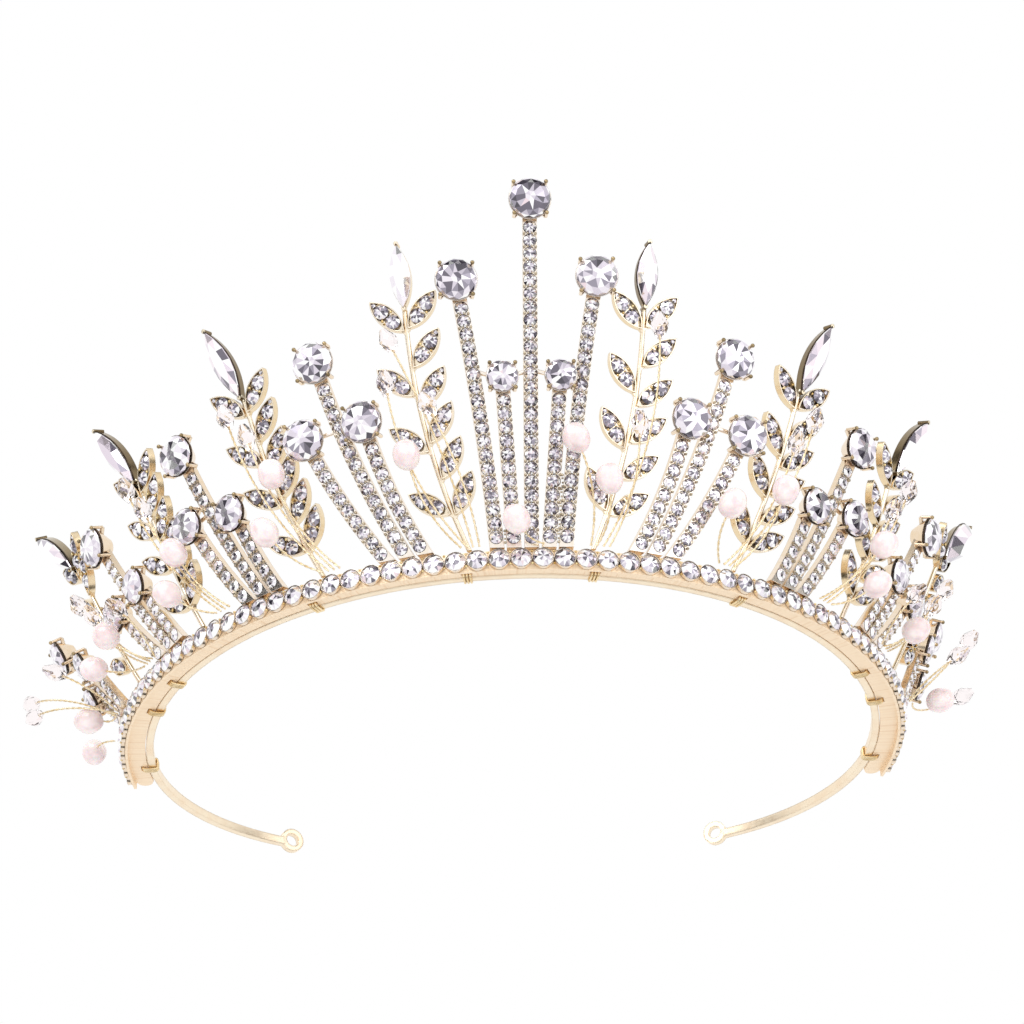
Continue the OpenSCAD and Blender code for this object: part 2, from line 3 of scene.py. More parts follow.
import random
from math import atan2, copysign, cos, pi, radians, sin, tau

import bmesh
import bpy
import numpy
from mathutils import Matrix, Vector, noise


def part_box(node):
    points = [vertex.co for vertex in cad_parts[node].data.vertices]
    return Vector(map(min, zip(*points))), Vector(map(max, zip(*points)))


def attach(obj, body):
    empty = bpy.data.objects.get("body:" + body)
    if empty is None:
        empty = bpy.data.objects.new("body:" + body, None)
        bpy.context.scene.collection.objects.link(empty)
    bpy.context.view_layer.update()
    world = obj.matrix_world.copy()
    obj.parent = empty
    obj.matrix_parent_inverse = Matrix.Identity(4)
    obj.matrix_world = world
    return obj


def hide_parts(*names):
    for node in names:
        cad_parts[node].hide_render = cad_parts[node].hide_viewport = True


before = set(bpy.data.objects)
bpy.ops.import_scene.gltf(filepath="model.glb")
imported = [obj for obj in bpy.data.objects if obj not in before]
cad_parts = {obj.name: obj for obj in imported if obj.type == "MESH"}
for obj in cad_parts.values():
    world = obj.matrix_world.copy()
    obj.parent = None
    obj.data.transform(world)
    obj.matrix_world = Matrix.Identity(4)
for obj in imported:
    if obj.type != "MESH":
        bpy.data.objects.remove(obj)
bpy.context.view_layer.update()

MM = 0.001
WELD = 0.002 * MM
CLUSTERS = ["centre"] + [f"{side}_{k}" for side in ("right", "left") for k in (1, 2, 3, 4)]
SPRIGS = [f"{side}_{k}_sprig" for side in ("right", "left") for k in (1, 2, 3, 4)]
luck = random.Random(11)

# The strip is an arc of more than half a circle, so its box gives the circle's centre and radius
strip_low, strip_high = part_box("base_strip")
BAND_R = strip_high.x
BAND_CENTRE = Vector((0, strip_low.y + BAND_R, 0))


# ---- colours and shader nodes ----

def srgb(text):
    """Hex colour to linear RGBA."""
    out = []
    for i in (0, 2, 4):
        v = int(text[i:i + 2], 16) / 255
        out.append(v / 12.92 if v <= 0.04045 else ((v + 0.055) / 1.055) ** 2.4)
    return (*out, 1.0)


def add(tree, kind, output, links=(), stops=(), **settings):
    """Adds a shader node with its settings and links, and gives one of its outputs.

    links are pairs of socket and value, or socket and output; stops are a ramp's places and hex colours."""
    node = tree.nodes.new("ShaderNode" + kind)
    for name, value in settings.items():
        setattr(node, name, value)
    for socket, value in links:
        if isinstance(value, bpy.types.NodeSocket):
            tree.links.new(value, node.inputs[socket])
        else:
            node.inputs[socket].default_value = value
    if stops:
        points = node.color_ramp.elements
        while len(points) < len(stops):
            points.new(1.0)
        for point, (place, colour) in zip(points, stops):
            point.position = place
            point.color = srgb(colour)
    return node.outputs[output]


# Sockets of a Mix node that mixes colours
FACTOR, FIRST, SECOND, MIXED = 0, 6, 7, 2


def material(name, **values):
    """New material with the given uniform values on its Principled shader, then its tree and shader."""
    made = bpy.data.materials.new(name)
    made.use_nodes = True
    shader = made.node_tree.nodes["Principled BSDF"]
    for socket, value in values.items():
        shader.inputs[socket.replace("_", " ")].default_value = value
    return made, made.node_tree, shader


def wire_into(tree, shader, **outputs):
    """Links outputs of nodes to sockets of the shader."""
    for socket, output in outputs.items():
        tree.links.new(output, shader.inputs[socket.replace("_", " ")])


# ---- materials ----

# Cast gold: how far the painted shade in inner corners reaches, the spacing of the soft waves in its skin,
# and its rounded edge
CORNER_REACH = 0.8 * MM
SKIN_WAVE = 0.8 * MM
CAST_EDGE = 0.14 * MM
# Width of the patches of tone on wire, rubbed plating or painted shade, the ripples in pressed glass, and the
# clouds in foil and in nacre
WIRE_PATCH = 2.5 * MM
GLASS_RIPPLE = 1.2 * MM
FOIL_CLOUD = 1.5 * MM
NACRE_CLOUD = 2 * MM


def outward(tree, place):
    """How squarely a face looks out from the band's axis: 1 on fronts, 0 on side walls."""
    centred = add(tree, "VectorMath", "Vector", [(0, place), (1, BAND_CENTRE)], operation="SUBTRACT")
    flat = add(tree, "VectorMath", "Vector", [(0, centred), (1, (1, 1, 0))], operation="MULTIPLY")
    ray = add(tree, "VectorMath", "Vector", [(0, flat)], operation="NORMALIZE")
    normal = add(tree, "NewGeometry", "Normal")
    return add(tree, "VectorMath", "Value", [(0, ray), (1, normal)], operation="DOT_PRODUCT")


def cast_gold(name, bright, side, shade_colour, rough):
    """Pale gold plated cast zinc with painted shade: bright fronts, warmer side walls, brown inner corners
    and edges.
    """
    made, tree, shader = material(name, Metallic=1.0)
    place = add(tree, "TexCoord", "Object")
    # Painted shade: walls that turn away from the front take the darker, warmer side colour
    front = add(tree, "ValToRGB", "Color", [("Fac", outward(tree, place))], [(0.05, side), (0.5, bright)])
    # Painted shade in the inner corners, found by ambient occlusion
    shade = add(tree, "AmbientOcclusion", "AO", [("Distance", CORNER_REACH)], samples=6, only_local=True)
    open_face = add(tree, "MapRange", "Result", [("Value", shade), ("From Min", 0.15), ("From Max", 0.6)])
    corner_shade = add(tree, "Mix", MIXED, [(FACTOR, open_face), (FIRST, srgb(shade_colour)), (SECOND, front)],
                   data_type="RGBA")
    # Painted shade along the edges: where the rounded and the true normal part, a thin brown line
    soft_edge = add(tree, "Bevel", "Normal", [("Radius", CAST_EDGE)], samples=6)
    flat_side = add(tree, "NewGeometry", "Normal")
    match = add(tree, "VectorMath", "Value", [(0, soft_edge), (1, flat_side)], operation="DOT_PRODUCT")
    edge = add(tree, "MapRange", "Result", [("Value", match), ("From Min", 0.98), ("From Max", 0.8),
                                            ("To Max", 0.6)])
    tone = add(tree, "Mix", MIXED, [(FACTOR, edge), (FIRST, corner_shade), (SECOND, srgb(shade_colour))],
               data_type="RGBA")
    skin = add(tree, "TexNoise", "Fac", [("Vector", place), ("Scale", 1 / SKIN_WAVE), ("Detail", 2.0)])
    mottle = add(tree, "ValToRGB", "Color", [("Fac", skin)], [(0.35, "F8F0DC"), (0.65, "FFFFFF")])
    colour = add(tree, "Mix", MIXED, [(FACTOR, 0.5), (FIRST, tone), (SECOND, mottle)],
                 data_type="RGBA", blend_type="MULTIPLY")
    gloss = add(tree, "MapRange", "Result", [("Value", skin), ("To Min", rough - 0.06),
                                             ("To Max", rough + 0.08)])
    bump = add(tree, "Bump", "Normal", [("Height", skin), ("Strength", 0.25), ("Distance", 0.03 * MM),
                                        ("Normal", soft_edge)])
    wire_into(tree, shader, Base_Color=colour, Roughness=gloss, Normal=bump)
    return made


def rolled_strip():
    """Rolled strip with satin peach-gold plating: uneven bands of tone run across it."""
    made, tree, shader = material("rolled_strip_peach_gold", Metallic=0.5)
    place = add(tree, "TexCoord", "Object")
    centred = add(tree, "VectorMath", "Vector", [(0, place), (1, BAND_CENTRE)], operation="SUBTRACT")
    x = add(tree, "SeparateXYZ", "X", [("Vector", centred)])
    angle = add(tree, "Math", "Value", [(0, x), (1, x.node.outputs["Y"])], operation="ARCTAN2")
    streak = add(tree, "CombineXYZ", "Vector", [("X", angle)])
    # Sixty bands to a radian, about 1.3 mm each, with finer ones in them
    bands = add(tree, "TexNoise", "Fac", [("Vector", streak), ("Scale", 60.0), ("Detail", 4.0),
                                          ("Roughness", 0.75)])
    colour = add(tree, "ValToRGB", "Color", [("Fac", bands)],
                 [(0.35, "EDCDA8"), (0.5, "FDE8CB"), (0.68, "F6D9B6")])
    gloss = add(tree, "MapRange", "Result", [("Value", bands), ("To Min", 0.38), ("To Max", 0.5)])
    wire_into(tree, shader, Base_Color=colour, Roughness=gloss)
    return made


def drawn_wire(name, colour, wear_and_shade, rough, round_off=0.0):
    """Drawn brass wire with gold plating, slightly rubbed, in two tones; for the seat shadow lines and dark
    stem grains both tones are painted shade. round_off softens the edges of flat wire.
    """
    made, tree, shader = material(name, Metallic=1.0)
    place = add(tree, "TexCoord", "Object")
    patchiness = add(tree, "TexNoise", "Fac", [("Vector", place), ("Scale", 1 / WIRE_PATCH), ("Detail", 3.0)])
    tone = add(tree, "ValToRGB", "Color", [("Fac", patchiness)], [(0.3, wear_and_shade), (0.6, colour)])
    gloss = add(tree, "MapRange", "Result", [("Value", patchiness), ("To Min", rough - 0.05),
                                             ("To Max", rough + 0.1)])
    wire_into(tree, shader, Base_Color=tone, Roughness=gloss)
    if round_off:
        wire_into(tree, shader, Normal=add(tree, "Bevel", "Normal", [("Radius", round_off)], samples=6))
    return made


def drop_glass():
    """Pressed glass drop: clear with a blush, faint ripples from the mould."""
    made, tree, shader = material("clear_drop_glass", Base_Color=srgb("FFF8F8"), IOR=1.4,
                                  Transmission_Weight=1.0)
    place = add(tree, "TexCoord", "Object")
    ripple = add(tree, "TexNoise", "Fac", [("Vector", place), ("Scale", 1 / GLASS_RIPPLE)])
    gloss = add(tree, "MapRange", "Result", [("Value", ripple), ("To Min", 0.02), ("To Max", 0.08)])
    bump = add(tree, "Bump", "Normal", [("Height", ripple), ("Strength", 0.2), ("Distance", 0.05 * MM)])
    wire_into(tree, shader, Roughness=gloss, Normal=bump)
    return made


def foiled_glass():
    """Cut glass with foil just behind: every facet has its own grey, a painted reflection, under a clear,
    glossy skin.
    """
    made, tree, shader = material("foiled_cut_crystal", Metallic=0.7, Roughness=0.1, Coat_Weight=1.0,
                                  Coat_Roughness=0.02)
    wire_into(tree, shader, Base_Color=add(tree, "Attribute", "Color", attribute_name="facet_reflection_tone"))
    return made


def foil_back():
    """Grey lacquered foil on the back of a stone, faintly clouded."""
    made, tree, shader = material("grey_foil_back", Metallic=0.6, Roughness=0.35)
    place = add(tree, "TexCoord", "Object")
    cloud = add(tree, "TexNoise", "Fac", [("Vector", place), ("Scale", 1 / FOIL_CLOUD)])
    colour = add(tree, "ValToRGB", "Color", [("Fac", cloud)], [(0.3, "9C9AA0"), (0.7, "B8B6BA")])
    wire_into(tree, shader, Base_Color=colour)
    return made


def glass_pearl():
    """Glass pearl in a pinkish lacquer: cloudy body under a tinted coat, with a soft broad highlight."""
    made, tree, shader = material("glass_pearl_nacre", Roughness=0.28, Coat_Weight=1.0, Coat_Roughness=0.12,
                                  Coat_Tint=srgb("FFF6F4"), Subsurface_Weight=0.15, Subsurface_Scale=1.0 * MM)
    place = add(tree, "TexCoord", "Object")
    cloud = add(tree, "TexNoise", "Fac", [("Vector", place), ("Scale", 1 / NACRE_CLOUD), ("Detail", 3.0)])
    colour = add(tree, "ValToRGB", "Color", [("Fac", cloud)],
                 [(0.36, "EFE3E5"), (0.5, "FAF1F4"), (0.64, "FFFEFE")])
    wire_into(tree, shader, Base_Color=colour)
    return made


STRIP_GOLD = rolled_strip()
# A smooth, evenly bright line behind the strip
HOOP_GOLD = drawn_wire("half_round_wire_pale_gold", "FBEBD1", "F6E0C3", 0.28, round_off=0.6 * MM)
# Nearly white fronts that let the stones lead, with warmer walls in painted shade
FRAME_GOLD = cast_gold("cast_frame_pale_gold", "FEF6EE", "F1DEC6", "8E7460", 0.2)
# Yellower, with brown painted shade in the corners and along the edges that outlines every leaf
SPRIG_GOLD = cast_gold("cast_sprig_yellow_gold", "FFF4E2", "F0DCBA", "7C5426", 0.18)
# Dark olive walls of painted shade that set off the long crystals
NAVETTE_CUP_SHADE = cast_gold("cast_navette_cup_olive_shade", "E8DCC4", "86765C", "3A3026", 0.2)
# Pale rings between the stones of the base row
CUP_GOLD = cast_gold("pressed_cup_pale_gold", "FFF9F3", "F2E2D0", "7E6A5C", 0.22)
# Thin bright lines, and yellow accents on the pale hoop
SPRAY_GOLD = drawn_wire("twisted_spray_wire_gold", "FDEDCC", "E8CFA0", 0.25)
TIE_GOLD = drawn_wire("binding_wire_gold", "FBE6BC", "E0C08A", 0.25)
# Warm sparks in the leaves, and duller specks of painted shade that break up the rows on the stems
GRAIN_GOLD = drawn_wire("raised_grain_gold", "F5DFA8", "C49A52", 0.2)
STEM_GRAIN_SHADE = drawn_wire("stem_grain_painted_shade", "CDBFA6", "8A7A68", 0.2)
# Dark dots on the claws, and a thin line of painted shadow round the large crystals
CLAW_GOLD = drawn_wire("claw_tip_olive_gold", "BCA680", "7A6A4C", 0.25)
SEAT_SHADOW = drawn_wire("painted_seat_shadow", "5A4A3C", "2E2620", 0.35)
CRYSTAL = foiled_glass()
FOIL = foil_back()
DROP = drop_glass()
NACRE = glass_pearl()


# ---- what the CAD nodes hold ----

def merged(node):
    """Merged copy of a CAD node's mesh."""
    bm = bmesh.new()
    bm.from_mesh(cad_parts[node].data)
    bmesh.ops.remove_doubles(bm, verts=bm.verts, dist=WELD)
    return bm


def solids(node):
    """Each loose solid of a CAD node as its list of faces, from a merged copy that must outlive them."""
    bm = merged(node)
    seen = set()
    found = []
    for vert in bm.verts:
        if vert in seen:
            continue
        seen.add(vert)
        queue = [vert]
        for v in queue:
            for edge in v.link_edges:
                other = edge.other_vert(v)
                if other not in seen:
                    seen.add(other)
                    queue.append(other)
        faces = {f.index: f for v in queue for f in v.link_faces}
        found.append([faces[i] for i in sorted(faces)])
    return bm, found


def points_of(faces):
    """Corner points of a solid's faces, each of them once."""
    points = {v.index: v.co.copy() for f in faces for v in f.verts}
    return [points[i] for i in sorted(points)]


def table_normal(faces):
    """Outward normal of the largest flat side, which on a cut stone is its table."""
    sides = {}
    for f in faces:
        key = tuple(round(c, 2) for c in f.normal)
        area, total = sides.get(key, (0.0, Vector()))
        sides[key] = (area + f.calc_area(), total + f.normal * f.calc_area())
    return max(sides.values(), key=lambda side: side[0])[1].normalized()


def stone_seats(node):
    """Place of each stone in a CAD node: centre of its girdle, table normal, long way, length and width."""
    bm, found = solids(node)
    seats = []
    for faces in found:
        out = table_normal(faces)
        points = points_of(faces)
        up = Vector((0, 0, 1))
        long_way = (up - up.dot(out) * out).normalized()
        across = long_way.cross(out)
        flat = [(p.dot(across), p.dot(long_way), p.dot(out)) for p in points]
        x = (min(f[0] for f in flat) + max(f[0] for f in flat)) / 2
        y = (min(f[1] for f in flat) + max(f[1] for f in flat)) / 2
        reach = [((f[0] - x) ** 2 + (f[1] - y) ** 2) ** 0.5 for f in flat]
        size = max(reach)
        # The widest points lie on the girdle, and a navette's long way runs through its tips
        girdle = [f[2] for f, r in zip(flat, reach) if r > 0.97 * size]
        centre = across * x + long_way * y + out * sum(girdle) / len(girdle)
        tip = max(zip(reach, points), key=lambda pair: pair[0])[1] - centre
        tip = (tip - tip.dot(out) * out).normalized()
        side = tip.cross(out)
        width = max(abs((p - centre).dot(side)) for p in points)
        if width < 0.8 * size:
            long_way = tip if tip.z > 0 else -tip
        seats.append({"centre": centre, "out": out, "long": long_way, "length": 2 * size, "width": 2 * width})
    bm.free()
    return seats


def is_navette(seat):
    """Whether a stone is the long kind, from its outline."""
    return seat["width"] < 0.7 * seat["length"]


def placed(seat, turn):
    """Matrix that puts a unit cut (girdle 1 across, table up z) into its seat."""
    across = seat["long"].cross(seat["out"])
    spot = Matrix((across, seat["long"], seat["out"])).transposed().to_4x4()
    spot.translation = seat["centre"]
    size = Matrix.Diagonal((seat["width"], seat["length"], seat["width"], 1))
    return spot @ size @ Matrix.Rotation(turn, 4, "Z")


# ---- making pieces ----

def piece(name, bm, slot, stands_for, *materials, smooth=False):
    """Turns a bmesh into a piece that rides on the body."""
    mesh = bpy.data.meshes.new(name)
    bm.to_mesh(mesh)
    bm.free()
    for m in materials:
        mesh.materials.append(m)
    if smooth:
        mesh.shade_smooth()
    made = bpy.data.objects.new(name, mesh)
    bpy.context.scene.collection.objects.link(made)
    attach(made, "root")
    if stands_for:
        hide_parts(stands_for)
    return made


def ring(bm, count, radius, height, turn=0.0):
    """Ring of loose points for a cut."""
    spot = Matrix.Translation((0, 0, height)) @ Matrix.Rotation(turn, 4, "Z")
    return bmesh.ops.create_circle(bm, segments=count, radius=radius, matrix=spot)["verts"]


def hull_of_points(bm):
    """Facets of a cut: the hull of its rings, with flat neighbours joined."""
    bmesh.ops.convex_hull(bm, input=bm.verts)
    bmesh.ops.dissolve_limit(bm, angle_limit=radians(1), verts=bm.verts, edges=bm.edges)
    bmesh.ops.recalc_face_normals(bm, faces=bm.faces)
    for face in bm.faces:
        face.material_index = 1 if face.normal.z < -0.05 else 0
    mesh = bpy.data.meshes.new("cut")
    bm.to_mesh(mesh)
    bm.free()
    return mesh


WEDGES = 14
LARGE_CRYSTAL = 4 * MM  # stones wider than this get the brilliant cut, smaller ones the chaton cut


def brilliant_cut():
    """Round cut, one unit wide: long wedges from the middle, then short triangles down to the girdle."""
    bm = bmesh.new()
    bmesh.ops.create_vert(bm, co=(0, 0, 0.17))
    ring(bm, WEDGES // 2, 0.13, 0.163, 0.1)
    ring(bm, WEDGES, 0.35, 0.125)
    ring(bm, WEDGES, 0.46, 0.05, pi / WEDGES)
    ring(bm, WEDGES, 0.5, 0.0)
    ring(bm, WEDGES // 2, 0.47, -0.05)
    ring(bm, 3, 0.004, -0.4)
    return hull_of_points(bm)


def chaton_cut():
    """Small pointed-back stone, one unit wide: a low pyramid, a row of crown facets, and a plain back."""
    bm = bmesh.new()
    bmesh.ops.create_vert(bm, co=(0, 0, 0.2))
    ring(bm, 11, 0.28, 0.18, pi / 11)
    ring(bm, 11, 0.5, 0.0)
    ring(bm, 3, 0.01, -0.24)
    return hull_of_points(bm)


def navette_cut():
    """Boat-shaped cut, one unit long and one wide before it is set."""
    bm = bmesh.new()
    for share in (-1.0, -0.72, -0.36, 0.0, 0.36, 0.72, 1.0):
        half = 0.5 * (1 - share * share)
        for side in (-1, 1) if half else (1,):
            bmesh.ops.create_vert(bm, co=(side * half, share / 2, 0))
            bmesh.ops.create_vert(bm, co=(side * half * 0.96, share / 2 * 0.97, 0.06))
    for share in (-1.0, -0.5, 0.0, 0.5, 1.0):
        half = 0.24 * (1 - share * share)
        for side in (-1, 1) if half else (1,):
            bmesh.ops.create_vert(bm, co=(side * half, 0.31 * share, 0.31))
    for share in (-0.25, 0.25):
        bmesh.ops.create_vert(bm, co=(0, share, -0.32))
    return hull_of_points(bm)


BRILLIANT = brilliant_cut()
CHATON = chaton_cut()
NAVETTE = navette_cut()

# Facet greys that stand for painted reflections, each with how often it comes up
LIGHT_TONES = [("FFFFFF", 56), ("F0EAF2", 28), ("DCD4E0", 13), ("F0DCE2", 3)]
PALE_TONES = [("FFFFFF", 34), ("F0EAF2", 34), ("DCD4E0", 30), ("F0DCE2", 2)]
DARK_TONES = [("C9C2CE", 14), ("9A94A2", 36), ("6C6673", 34), ("4A4650", 16)]
NAVETTE_TONES = [("FFFFFF", 28), ("F3E6EE", 34), ("E2D6E2", 18), ("B4ACBA", 10), ("6C6673", 10)]
PALEST_SPRIG = "left_1_sprig"                # its navette has only pale facet greys, and its cup neither dark painted shade nor a painted seat shadow
BRIGHT_FANS = ("centre", "right_1", "left_1")  # their crystals get no painted shadow line at the settings


def pick(tones):
    """One of the greys, drawn by how often it comes up."""
    return luck.choices([t[0] for t in tones], [t[1] for t in tones])[0]


END_FANS_X = 66 * MM    # stones farther out than this sit at the two ends
CREST_X = 4 * MM        # the crest crystal lies nearer the middle than this
LOW_HEADS_Z = 40 * MM   # the two lower crystals of the centre fan lie below this


def faces_front(seat):
    """Whether a stone looks to the front, to within about 32 degrees."""
    return seat["out"].y <= -0.85


def painted_shade_of(seat):
    """How grey a large crystal is painted: the crest most, then those left of it, shaded as if lit from the
    right, the rest much less.
    """
    if not faces_front(seat):
        return 0.12
    if abs(seat["centre"].x) < CREST_X:
        return 1.1
    if seat["centre"].z < LOW_HEADS_Z:
        return 0.35
    return 0.68 if seat["centre"].x < 0 else 0.18


def small_dark_share(node, seat, reach):
    """Chance that a facet of a chaton is a dark painted reflection, for its middle pyramid and for its crown;
    more on stones facing the front.
    """
    if "sprig" in node:
        middle, crown = 0.55, 0.55
    elif "base" in node:
        middle, crown = 0.48, 0.22 if faces_front(seat) else 0.05
    elif abs(seat["centre"].x) > END_FANS_X:
        middle, crown = 0.22, 0.02
    else:
        middle, crown = (0.48, 0.32) if faces_front(seat) else (0.34, 0.04)
    return middle if reach < 0.27 else crown


def large_dark_share(seat, reach, wedge):
    """Chance that a facet of a brilliant is dark: higher in every other wedge, lowest at the girdle."""
    depth = painted_shade_of(seat)
    if reach < 0.32:
        return 0.22 + 0.55 * depth + (0.3 if wedge % 2 else -0.3)
    return 0.9 * depth if reach < 0.44 else 0.5 * depth


def facet_colour(cut, node, seat, reach, wedge):
    """Grey of one facet, a painted reflection, from its reach (a share of the stone's width) and its wedge
    (place round it).
    """
    if cut is NAVETTE:
        return srgb(pick(PALE_TONES[:2] if node.startswith(PALEST_SPRIG) else NAVETTE_TONES))
    if cut is CHATON:
        light, share = LIGHT_TONES, small_dark_share(node, seat, reach)
    else:
        light, share = PALE_TONES, large_dark_share(seat, reach, wedge)
    return srgb(pick(DARK_TONES if luck.random() < share else light))


def set_stones(name, node):
    """All stones of a CAD node as cut crystals in the same seats."""
    bm = bmesh.new()
    tone = bm.loops.layers.float_color.new("facet_reflection_tone")
    for seat in stone_seats(node):
        first_vert = len(bm.verts)
        first_face = len(bm.faces)
        cut = NAVETTE if is_navette(seat) else BRILLIANT if seat["width"] > LARGE_CRYSTAL else CHATON
        bm.from_mesh(cut)
        bm.verts.ensure_lookup_table()
        bm.faces.ensure_lookup_table()
        turn = 0.0 if is_navette(seat) else luck.uniform(0, tau)
        bmesh.ops.transform(bm, matrix=placed(seat, turn), verts=bm.verts[first_vert:])
        for face in bm.faces[first_face:]:
            middle = face.calc_center_median() - seat["centre"]
            reach = (middle - middle.dot(seat["out"]) * seat["out"]).length / seat["width"]
            around = atan2(middle.dot(seat["long"]), middle.dot(seat["long"].cross(seat["out"]))) - turn
            colour = facet_colour(cut, node, seat, reach, int(around % tau / tau * WEDGES))
            for loop in face.loops:
                loop[tone] = colour
    return piece(name, bm, "crystal", node, CRYSTAL, FOIL)


ROW_GAP = 0.8 * MM         # stones with less room than this between them are neighbours in a row
SMALLEST_HELD = 1.2 * MM   # stones narrower than this have no grains


def raised_grains(name, node, size, spread, height, finish=GRAIN_GOLD):
    """Pairs of small gold grains that hold neighbouring stones, one pair in each gap of a row.

    spread is how far a grain stands from the row's middle, as a share of a stone's width."""
    bm = bmesh.new()
    seats = [s for s in stone_seats(node) if not is_navette(s)]
    for i, seat in enumerate(seats):
        for other in seats[i + 1:]:
            gap = other["centre"] - seat["centre"]
            near = 0.5 * (seat["width"] + other["width"])
            if gap.length > near + ROW_GAP or min(seat["width"], other["width"]) < SMALLEST_HELD:
                continue
            across = gap.normalized().cross(seat["out"])
            for side in (-1, 1):
                spot = seat["centre"] + gap / 2 + across * side * spread * near + seat["out"] * height
                bmesh.ops.create_icosphere(bm, subdivisions=1, radius=size / 2,
                                           matrix=Matrix.Translation(spot))
    return piece(name, bm, "plated_gold", None, finish, smooth=True)


CLAW_HEIGHT = 0.42 * MM
SEAT_LINE = 0.26 * MM
SEAT_DEPTH = 0.35 * MM  # of the painted shadow line, below the girdle


def claw_tips(name, node, size, spread):
    """Darker tips on the four claws round each large crystal, spread outside its girdle."""
    bm = bmesh.new()
    for seat in stone_seats(node):
        across = seat["long"].cross(seat["out"])
        for turn in (45, 135, 225, 315):
            way = across * cos(radians(turn)) + seat["long"] * sin(radians(turn))
            spot = seat["centre"] + way * (seat["width"] / 2 + spread) + seat["out"] * CLAW_HEIGHT
            bmesh.ops.create_icosphere(bm, subdivisions=2, radius=size / 2,
                                       matrix=Matrix.Translation(spot))
    return piece(name, bm, "plated_gold", None, CLAW_GOLD, smooth=True)


# ---- pearls, drops and wires ----

def principal_axes(points):
    """Cloud of points, its middle, and its axes as columns, the shortest first."""
    cloud = numpy.array(points)
    middle = cloud.mean(axis=0)
    return cloud, middle, numpy.linalg.eigh(numpy.cov((cloud - middle).T))[1]


def long_axis(points):
    """Middle, long axis, length and width of a turned solid."""
    middle, axes = principal_axes(points)[1:]
    axis = Vector(axes[:, 2])
    reach = [(p - Vector(middle)).dot(axis) for p in points]
    middle = Vector(middle) + axis * (max(reach) + min(reach)) / 2
    width = 2 * max(((p - middle) - (p - middle).dot(axis) * axis).length for p in points)
    return middle, axis, max(reach) - min(reach), width


def upright(middle, axis):
    """Matrix that puts a turned shape, made along z, on its middle and axis."""
    return Matrix.Translation(middle) @ axis.to_track_quat("Z", "Y").to_matrix().to_4x4()


def spray_pearls():
    """Oval glass pearls, none of them quite regular."""
    bm = bmesh.new()
    source, found = solids("spray_pearls")
    for faces in found:
        middle, axis, length, width = long_axis(points_of(faces))
        spot = upright(middle, axis) @ Matrix.Diagonal((width, width, length, 1))
        pearl = bmesh.ops.create_uvsphere(bm, u_segments=40, v_segments=24, radius=0.5, matrix=spot)["verts"]
        # From 0.91 to 1.0 of the full size, in waves of 2.5 mm
        for vert in pearl:
            dent = noise.noise((vert.co - middle) / (2.5 * MM) + Vector((middle.x, middle.z, 0)) / MM)
            vert.co = middle + (vert.co - middle) * (0.97 + 0.06 * min(dent, 0.5))
    source.free()
    return piece("oval_pearls", bm, "pearl", "spray_pearls", NACRE, smooth=True)


def spray_drops():
    """Cut clear glass drops."""
    bm = bmesh.new()
    shape = bmesh.new()
    ring(shape, 8, 0.18, 0.5)
    ring(shape, 8, 0.46, 0.14, pi / 8)
    ring(shape, 8, 0.5, 0.0)
    ring(shape, 8, 0.46, -0.14, pi / 8)
    ring(shape, 8, 0.18, -0.5)
    cut = hull_of_points(shape)
    source, found = solids("spray_beads")
    for faces in found:
        middle, axis, length, width = long_axis(points_of(faces))
        first = len(bm.verts)
        bm.from_mesh(cut)
        bm.verts.ensure_lookup_table()
        # A touch small, so that no point stands out of the CAD bead
        spot = upright(middle, axis) @ Matrix.Diagonal((width, width, length, 1)) @ Matrix.Scale(0.98, 4)
        bmesh.ops.transform(bm, matrix=spot, verts=bm.verts[first:])
    source.free()
    # The same glass all round
    for face in bm.faces:
        face.material_index = 0
    return piece("cut_drops", bm, "clear_bead", "spray_beads", DROP)


def arc_of(points):
    """Circle that best fits a bent wire: centre, two axes in its plane, radius, and angle at each end."""
    cloud, middle, axes = principal_axes(points)
    u, v = axes[:, 2], axes[:, 1]
    x, y = (cloud - middle) @ u, (cloud - middle) @ v
    sums = numpy.column_stack((x, y, numpy.ones(len(x))))
    a, b, c = numpy.linalg.lstsq(sums, x * x + y * y, rcond=None)[0]
    centre = numpy.array((a / 2, b / 2))
    radius = (c + centre @ centre) ** 0.5
    away = atan2(-centre[1], -centre[0])
    turns = [(atan2(q - centre[1], p - centre[0]) - away + pi) % tau - pi for p, q in zip(x, y)]
    origin = Vector(middle) + Vector(u) * centre[0] + Vector(v) * centre[1]
    return origin, Vector(u), Vector(v), radius, away + min(turns), away + max(turns)


def curve_piece(name, paths, thickness, slot, stands_for, finish, closed=False):
    """Round wire along each path, made a mesh."""
    curve = bpy.data.curves.new(name, "CURVE")
    curve.dimensions = "3D"
    curve.bevel_depth = thickness / 2
    curve.bevel_resolution = 1
    curve.use_fill_caps = True
    for path in paths:
        line = curve.splines.new("POLY")
        line.points.add(len(path) - 1)
        for point, spot in zip(line.points, path):
            point.co = (*spot, 1)
        line.use_cyclic_u = closed
    holder = bpy.data.objects.new(name + "_curve", curve)
    bm = bmesh.new()
    bm.from_mesh(holder.to_mesh())
    bpy.data.objects.remove(holder)
    return piece(name, bm, slot, stands_for, finish, smooth=True)


